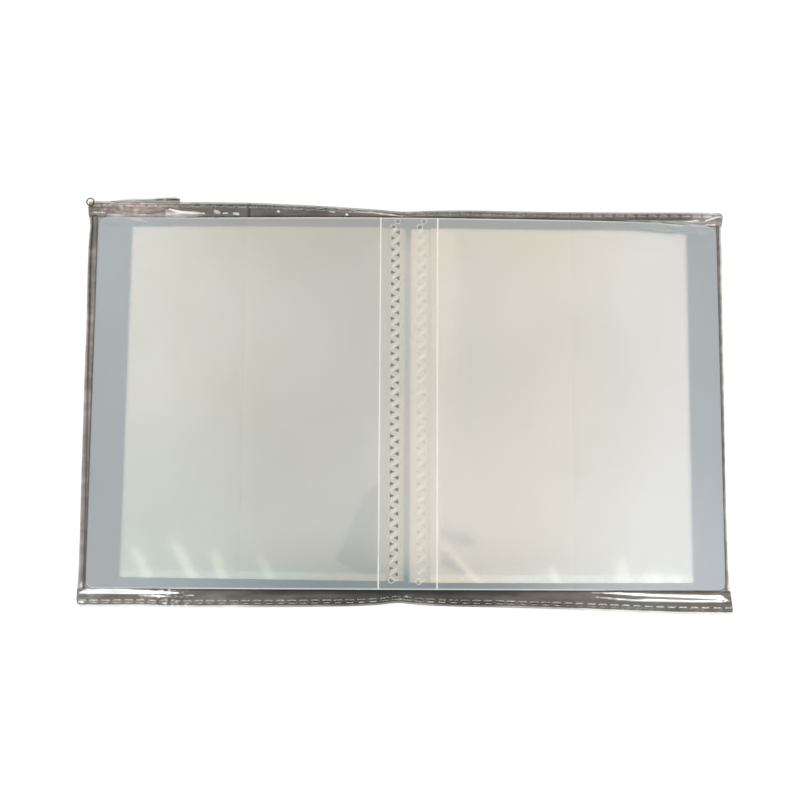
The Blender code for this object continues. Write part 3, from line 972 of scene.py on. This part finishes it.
def glare(end, x, out):
    """1 on the tight stretches of film that mirror a window."""
    total = np.zeros_like(x)
    for run in GLARE[end]:
        known, centres, halves = np.array(run).T
        centre, half = np.interp(x, known, centres), np.interp(x, known, halves)
        ends = between(x, known[0] - 0.4, known[0] + 0.4) * until(x, known[-1] - 0.4, known[-1] + 0.4)
        total = np.maximum(total, ends * until(np.abs(out - centre), 0.8 * half, 1.2 * half))
    return total


def crease(x, y, length, width, seed):
    """Thin sharp folds, from 0 to 1, with a length along x and a width along y."""
    return np.clip(1 - 4 * np.abs(wander(x, y, length, width, seed)), 0, 1)


def roughness(end, x):
    """How crumpled the hem is at x, from 0 to 1."""
    rough = np.maximum(bump(np.abs(x), 140, 14), 0.7 * bump(x, 0.0, 16))
    if end > 0:
        rough = np.maximum(rough, 0.95 * bump(x, -108, 48))
        rough = np.maximum(rough, 0.8 * bump(x, -28, 16))
    return np.maximum(rough, 0.22)


def hem_height(end, x, out):
    """Height of the jacket's hem over a grid of x and of distances past the cover's edge."""
    width = hem_width(end, x)
    weld_start = width - WELD_BAND
    tight = glare(end, x, out)
    steps = np.diff(out, axis=0) * (tight[1:] + tight[:-1]) / 2 * GLARE_SLOPE
    drop = np.concatenate([np.zeros_like(x[:1]), np.cumsum(steps, axis=0)])
    ramp = drop[-1:] - drop
    height = HEM_TOP - 0.3 + ramp - 0.06 * bump(out, 0.6 * weld_start, 0.6 * weld_start + 1)
    height -= 0.4 * between(width - out, 0.5, 0.0)
    y = end * (hem_inner(end, x) + out)
    folds = 0.13 * wander(x, y, 7, 2.6, 31 + end)
    folds += 0.07 * wander(x, y, 2.6, 1.3, 37 + end)
    folds += 0.08 * crease(x, y, 9, 1.8, 41 + end)
    calm = 1 - 0.7 * between(out, weld_start - 0.3, weld_start + 0.4)
    height += roughness(end, x) * folds * calm * (1 - 0.9 * tight)
    return height - DASH_DEPTH * dash_mask(end, x, width - out)


def dash_distance(end, x, from_edge):
    """Distance outside the nearest dash, below 0 inside it, given the distance from the hem's edge."""
    along = np.abs(x - DASH_PITCH * np.round(x / DASH_PITCH))
    across = np.abs(from_edge - DASH_INSET[end])
    corner_x = np.clip(along - (DASH_LENGTH / 2 - DASH_CORNER), 0, None)
    corner_y = np.clip(across - (DASH_WIDTH[end] / 2 - DASH_CORNER), 0, None)
    return np.hypot(corner_x, corner_y) - DASH_CORNER


def dash_mask(end, x, from_edge):
    return until(dash_distance(end, x, from_edge), -0.2, 0.15)


def dash_rim(end, x, from_edge):
    return bump(dash_distance(end, x, from_edge), 0.05, 0.35)


def dash_tone(end, x):
    """How much lighter or darker the floor of a dash is than the film round it."""
    out = np.abs(x)
    if end < 0:
        return -0.2 + 0.24 * between(out, 55, 105)
    right = -0.02 + 0.2 * between(x, 50, 105)
    left = -0.1 - 0.22 * bump(x, -88, 22) + 0.26 * between(-x, 104, 114)
    return np.where(x > 0, right, left)


def hem_tone(end, x, out):
    """The film's tone along the hem: below, painted shade that is darkest by the spine, with a painted
    shadow along the cover's edge; mauve-brown and light above.
    """
    if end < 0:
        # Painted shade towards the middle, deepest next to the cover's edge as a painted shadow
        dark = bump(x, -8, 112)
        tone = 0.46 - 0.22 * dark
        return tone - 0.2 * dark * until(out, 1.0, 3)
    tone = np.where(x > 0, 0.39, 0.42) + 0.2 * bump(x, -122, 34) - 0.04 * bump(x, -45, 40)
    patch = between(x, -109.4, -108.9) * until(x, -97, -90)
    tone += 0.28 * patch * until(out + 0.135 * (x + 109.3), 3.6, 3.9)
    tone -= 0.22 * bump(x, -71.8, 1.2)
    return tone + 0.24 * between(x, 120, 134)


def hem_shade(end, x, y):
    """The tone of the hem film, from 0 for black to 1 for white: its creases and dashes, with painted
    glints, a painted shadow along the cover's edge and painted highlights on the dash rims and the tight
    stretches.
    """
    out = end * y - hem_inner(end, x)
    width = hem_width(end, x)
    from_edge = width - out
    tone = hem_tone(end, x, out) + 0.08 * wander(x, y, 18, 1.8, 51)
    tone += roughness(end, x) * 0.16 * crease(x, y, 8, 1.3, 55)
    crumpled = bump(x, -134, 30) * (end > 0)
    tone += 0.3 * crumpled * wander(x, y, 2.2, 1.5, 63)
    # Painted glints near the lower left
    painted_glints = bump(x, -104, 16) * (end < 0)
    tone += 0.9 * painted_glints * np.clip(wander(x, y, 1.5, 0.9, 65), 0, 1)
    # Painted shadow along the cover's edge
    edge_shadow = 1.0 if end > 0 else between(x, -112, -95)
    tone -= 0.22 * edge_shadow * until(out, 0.2, 1.1)
    vary = 0.75 + 0.5 * wander(np.round(x / DASH_PITCH) * DASH_PITCH, 0 * x, 4, 1, 57)
    broken = np.clip(0.7 + 1.6 * wander(x, y, 1.6, 0.8, 59), 0, 1.5)
    # The dash rims are lighter: whitened weld edges with a painted highlight on them
    tone += vary * 0.2 * broken * dash_rim(end, x, from_edge)
    tone += vary * dash_tone(end, x) * dash_mask(end, x, from_edge)
    tone -= 0.1 * bump(from_edge, 1.15, 0.35)
    rim = 0.25 + 0.25 * between(np.abs(x), 30, 90) if end < 0 else 0.26
    tone += rim * until(from_edge, 0.7, 1.0)
    # Painted highlight on the tight stretches, on top of what their slope mirrors
    return tone + 0.4 * glare(end, x, out)


def hem_blush(end, x):
    """Where the film shows mauve instead of grey-brown."""
    if end < 0:
        return 0.2 * between(x, 20, 60) * until(x, 80, 110)
    return 0.8 * bump(x, -122, 30) + 0.5 * between(x, 40, 90)


def stretches(left, right):
    """The jacket from left to right: a word, the bodies that it moves with, and where it starts and
    ends. With two bodies it is the short strip at a fold."""
    half = FOLD_STRIP / 2
    words = ("left", "left", "spine", "right", "right")
    bodies = (
        ["left_cover"], ["left_cover", "spine"], ["spine"], ["spine", "right_cover"], ["right_cover"]
    )
    ends = [left, -SCORE_X - half, -SCORE_X + half, SCORE_X - half, SCORE_X + half, right]
    return zip(words, bodies, ends, ends[1:])


def settle_stretch(piece, bodies, node):
    if len(bodies) == 1:
        settle(piece, bodies[0], node)
    else:
        bend_at_fold(piece)


def add_hem(end, word, bodies, x_low, x_high):
    """One stretch of the hem at one end of the book."""
    end_word = "top" if end > 0 else "bottom"
    side = 1 if x_high > 0 else -1
    x, share = np.meshgrid(spread(x_low, x_high, 0.4), np.linspace(0, 1, 28))
    out = share * hem_width(end, x)
    top = hem_height(end, x, out)
    y = end * (hem_inner(end, x) + out)
    leaning = side * side_reach(side, y) - side * hem_side(end, side)
    leaning *= between(np.abs(x), 132, abs(hem_side(end, side)))
    x, y, top, leaning = x[::end], y[::end], top[::end], leaning[::end]
    name = f"hem_{word}_{end_word}" + ("_fold" if len(bodies) > 1 else "")
    piece = slab(name, x, y, top, FILM_TOP + FILM_CLEARANCE, border)
    x, y = places(piece)
    paint(piece, shade=hem_shade(end, x, y), blush=hem_blush(end, x))
    shift_x(piece, leaning)
    settle_stretch(piece, bodies, f"hem_{end_word}_{word}")


def add_side_border(side):
    """The jacket's folded side: film that drops from the flap to a rolled edge."""
    rows = spread(-COVER_Y, COVER_Y - sheet_drop(1, side * COVER_X), 0.8)
    share, y = np.meshgrid(np.linspace(0, 1, 16)[::side], rows)
    start = COVER_X + 0.1
    x = side * (start + share * (side_reach(side, y) - start))
    roll = 0.45 * bump(share, 0.84, 0.16)
    fall = FLAP_TOP - (FLAP_TOP - HEM_TOP + 0.4) * between(share, 0.0, 0.75)
    creases = 0.16 * wander(x, y, 1.1, 18, 61 + side) + 0.05 * wander(x, y, 1, 4, 67 + side)
    top = fall + roll + creases * bump(share, 0.5, 0.5) - 0.3 * between(share, 0.92, 1.0)
    piece = slab(f"jacket_side_{WORD[side]}", x, y, top, FILM_TOP + FILM_CLEARANCE, border)
    x, y = places(piece)
    along = (side * x - start) / (side_reach(side, y) - start)
    line = 0.28 if side > 0 else 0.2 + 0.45 * between(y, -82, 60)
    tone = 0.58 + 0.1 * wander(x, y, 2, 40, 71) - 0.34 * bump(along, line, 0.22)
    tone += 0.32 * between(along, 0.42, 0.7) if side > 0 else 0.16 * between(along, 0.58, 0.85)
    # Painted shade towards the upper end, and painted glints by the lower corners
    tone -= 0.12 * between(y, 62, 80) * until(along, 0.5, 0.8)
    tone += 0.45 * bump(y, -81, 2.4) * bump(along, 0.45, 0.4)
    tone -= 0.1 * until(along, 0.0, 0.1)
    paint(piece, shade=tone, blush=0.12 if side > 0 else 0.35)
    settle(piece, f"{WORD[side]}_cover", f"jacket_flap_{WORD[side]}")


def add_sleeve(side):
    """The clear flap of the jacket over the cover's outer part."""
    columns = spread(FLAP_X, COVER_X + 0.1, 1)
    fine = COVER_Y - 9
    rows = np.union1d(spread(-COVER_Y, fine, 2.5), spread(fine, COVER_Y, 0.44))
    x, y = np.meshgrid(np.sort(side * columns), rows)
    loose = until(side * x, COVER_X - 8, COVER_X) * until(np.abs(y), COVER_Y - 5, COVER_Y)
    top = FLAP_TOP + loose * 0.12 * wander(x, y, 14, 22, 81 + side)
    piece = slab(f"jacket_sleeve_{WORD[side]}", x, y, top, top - SLEEVE_THICKNESS, sleeve_film)
    # Pale puckers where the film is caught under the hem at the upper corners: whitened film with a
    # painted highlight
    x, y = places(piece)
    reach = 5 + 4 * between(x, 100, 125)
    near = until(COVER_Y - sheet_drop(1, x) - y, 0.3 * reach, reach)
    veil = 0.4 + 2 * np.abs(wander(x, y + 0.12 * x, 9, 1.4, 85))
    ends = between(side * x, 92, 108) * until(side * x, 132, 138)
    paint(piece, wrinkle=0.26 * ends * near * veil)
    settle(piece, f"{WORD[side]}_cover", f"jacket_flap_{WORD[side]}")


def add_outer_film(word, bodies, x_low, x_high):
    """One stretch of the jacket's outer film."""
    single = len(bodies) == 1
    side = {"left": -1, "spine": 0, "right": 1}[word] if single else 0
    columns = spread(x_low, x_high, 4 if single else 0.2)
    if side:
        # Closer together along the rounded corners
        columns = np.union1d(columns, (x_low + x_high) / 2 + side * np.linspace(60, 69, 12))
        columns = columns[(columns >= x_low) & (columns <= x_high)]
    x, share = np.meshgrid(columns, np.linspace(-1, 1, 45))
    y = share * (np.where(share > 0, hem_outer(1, x), hem_outer(-1, x)) - FILM_INSET)
    if side:
        fold = x_high if side < 0 else x_low
        x = fold + (x - fold) * (side_reach(side, y) - FILM_INSET - side * fold) / (x_high - x_low)
    name = f"outer_film_{word}" + ("" if single else "_fold")
    piece = slab(name, x, y, FILM_TOP, 0.0, outer_film)
    settle_stretch(piece, bodies, f"jacket_film_{word}")


def add_slack_strip():
    """A strip of slack film that stands out past the upper hem near the left corner."""
    x, share = np.meshgrid(spread(-133.5, -102.6, 0.5), np.linspace(0, 1, 8))
    outline = [(-134, 0.1), (-127, 0.9), (-115, 1.4), (-108, 2.0), (-103.6, 2.1), (-102.5, 1.2)]
    y = hem_outer(1, x) - 0.3 + share * through(outline, x)
    top = HEM_TOP + 0.25 + 0.25 * bump(share, 0.6, 0.5) + 0.08 * wander(x, y, 4, 1, 91)
    piece = slab("slack_strip", x, y, top, top - SLACK_THICKNESS, border)
    x, y = places(piece)
    out = y - hem_outer(1, x)
    dark = between(x, -115, -112) * (1 - 0.9 * bump(x, -109.4, 1.2))
    paint(piece, shade=0.7 - 0.6 * dark * bump(out, 0.95, 0.8) + 0.3 * between(out, 1.4, 1.65))
    settle(piece, "left_cover")


def add_corner_ring():
    """The small ring of film at the jacket's upper left corner."""
    ring = torus((-142.5, 88.0, HEM_TOP - 0.1), 1.6, 0.3, 36, 10, border)
    ring.name = ring.data.name = "corner_ring"
    ring.data.shade_smooth()
    paint(ring, shade=0.18)
    settle(ring, "left_cover")


# Stage, camera and lights


def shown_white(tree, surface, strength, output):
    """Adds a plain white glow that only the camera, reflections and clear film see."""
    path = tree.nodes.new("ShaderNodeLightPath").outputs
    seen = math_node(tree, "MAXIMUM", path["Is Camera Ray"], path["Is Glossy Ray"])
    seen = math_node(tree, "MAXIMUM", seen, path["Is Transmission Ray"])
    inputs = {"Color": (1, 1, 1, 1), "Strength": math_node(tree, "MULTIPLY", seen, strength)}
    glow = add_node(tree, "Emission", inputs, "Emission")
    tree.links.new(add_node(tree, "AddShader", {0: surface, 1: glow}, "Shader"), output)


def add_floor():
    half, depth = 3.0, 0.0002
    mesh = bpy.data.meshes.new("floor")
    corners = [(-half, -half), (half, -half), (half, half), (-half, half)]
    mesh.from_pydata([(x, y, -depth) for x, y in corners], [], [(0, 1, 2, 3)])
    material, tree = new_material("floor_paper")
    tree.nodes.remove(tree.nodes["Principled BSDF"])
    diffuse = add_node(tree, "BsdfDiffuse", {"Color": (0.75, 0.75, 0.75, 1.0)}, "BSDF")
    # The lamps light only the middle of the floor, so it glows more towards its edges
    distance = add_node(tree, "VectorMath", {0: place_node(tree)}, "Value", operation="LENGTH")
    glow = range_node(tree, distance, 0.35, 1.2, 0.4, 1.0)
    shown_white(tree, diffuse, glow, tree.nodes["Material Output"].inputs["Surface"])
    mesh.materials.append(material)
    linked("floor", mesh)


def set_world(ambient, overhead):
    """Even light. Reflections see a white room with a dimmer ceiling."""
    world = bpy.data.worlds.new("studio")
    bpy.context.scene.world = world
    world.use_nodes = True
    tree = world.node_tree
    path = tree.nodes.new("ShaderNodeLightPath").outputs
    direction = add_node(tree, "TexCoord", {}, "Generated")
    height = add_node(tree, "SeparateXYZ", {"Vector": direction}, "Z")
    ceiling = range_node(tree, height, 0.55, 0.85, 1.0, overhead)
    mirrored = math_node(tree, "MAXIMUM", path["Is Glossy Ray"], path["Is Transmission Ray"])
    strength = math_node(tree, "MULTIPLY", mirrored, ceiling)
    strength = math_node(tree, "MAXIMUM", strength, path["Is Camera Ray"])
    strength = math_node(tree, "MAXIMUM", strength, ambient)
    fill(tree.nodes["Background"], {"Color": (1, 1, 1, 1), "Strength": strength})


def add_strip_light(name, place, length, width, glow, colour):
    """A long softbox aimed at the book, in metres. glow is its brightness, where 1 is white."""
    light = bpy.data.lights.new(name, "AREA")
    light.shape = "RECTANGLE"
    light.size, light.size_y = length, width
    light.energy = glow * math.pi * length * width
    light.color = colour
    lamp = linked(name, light)
    lamp.location = place
    lamp.rotation_euler = (-Vector(place)).to_track_quat("-Z", "Y").to_euler()


def add_camera():
    camera_data = bpy.data.cameras.new("camera")
    camera_data.sensor_fit = "HORIZONTAL"
    camera_data.sensor_width = 36.0
    camera_data.lens = FOCAL_PIXELS * camera_data.sensor_width / PICTURE_PIXELS
    camera_data.clip_start = 0.01
    camera = linked("camera", camera_data)
    camera.matrix_world = Matrix.Translation(Vector(CAMERA_PLACE) * MM)
    for angle, axis in ((CAMERA_TURN, "Z"), (CAMERA_PITCH, "X"), (CAMERA_ROLL, "Y")):
        camera.matrix_world @= Matrix.Rotation(math.radians(angle), 4, axis)
    bpy.context.scene.camera = camera


bpy.context.scene.view_settings.view_transform = "Standard"
add_camera()
add_floor()
set_world(ambient=0.42, overhead=0.3)
add_strip_light("window_front", (0.0, -0.78, 1.0), 1.9, 0.2, 9.0, (0.94, 0.98, 1.0))
add_strip_light("window_back", (0.0, 0.8, 1.05), 1.9, 0.2, 8.0, (1.0, 0.97, 0.93))

# Cover, pages and welds
for side in WORD:
    add_score_line(side)
    add_flange(side)
    add_weld_band(side)
    for number in range(1, LEAVES + 1):
        add_leaf(side, number)
add_sheet()
add_end_welds()

# Jacket
for end in (1, -1):
    for stretch in stretches(-hem_side(end, -1), hem_side(end, 1)):
        add_hem(end, *stretch)
for side in WORD:
    add_side_border(side)
    add_sleeve(side)
add_slack_strip()
add_corner_ring()
for stretch in stretches(-hem_side(-1, -1), hem_side(-1, 1)):
    add_outer_film(*stretch)
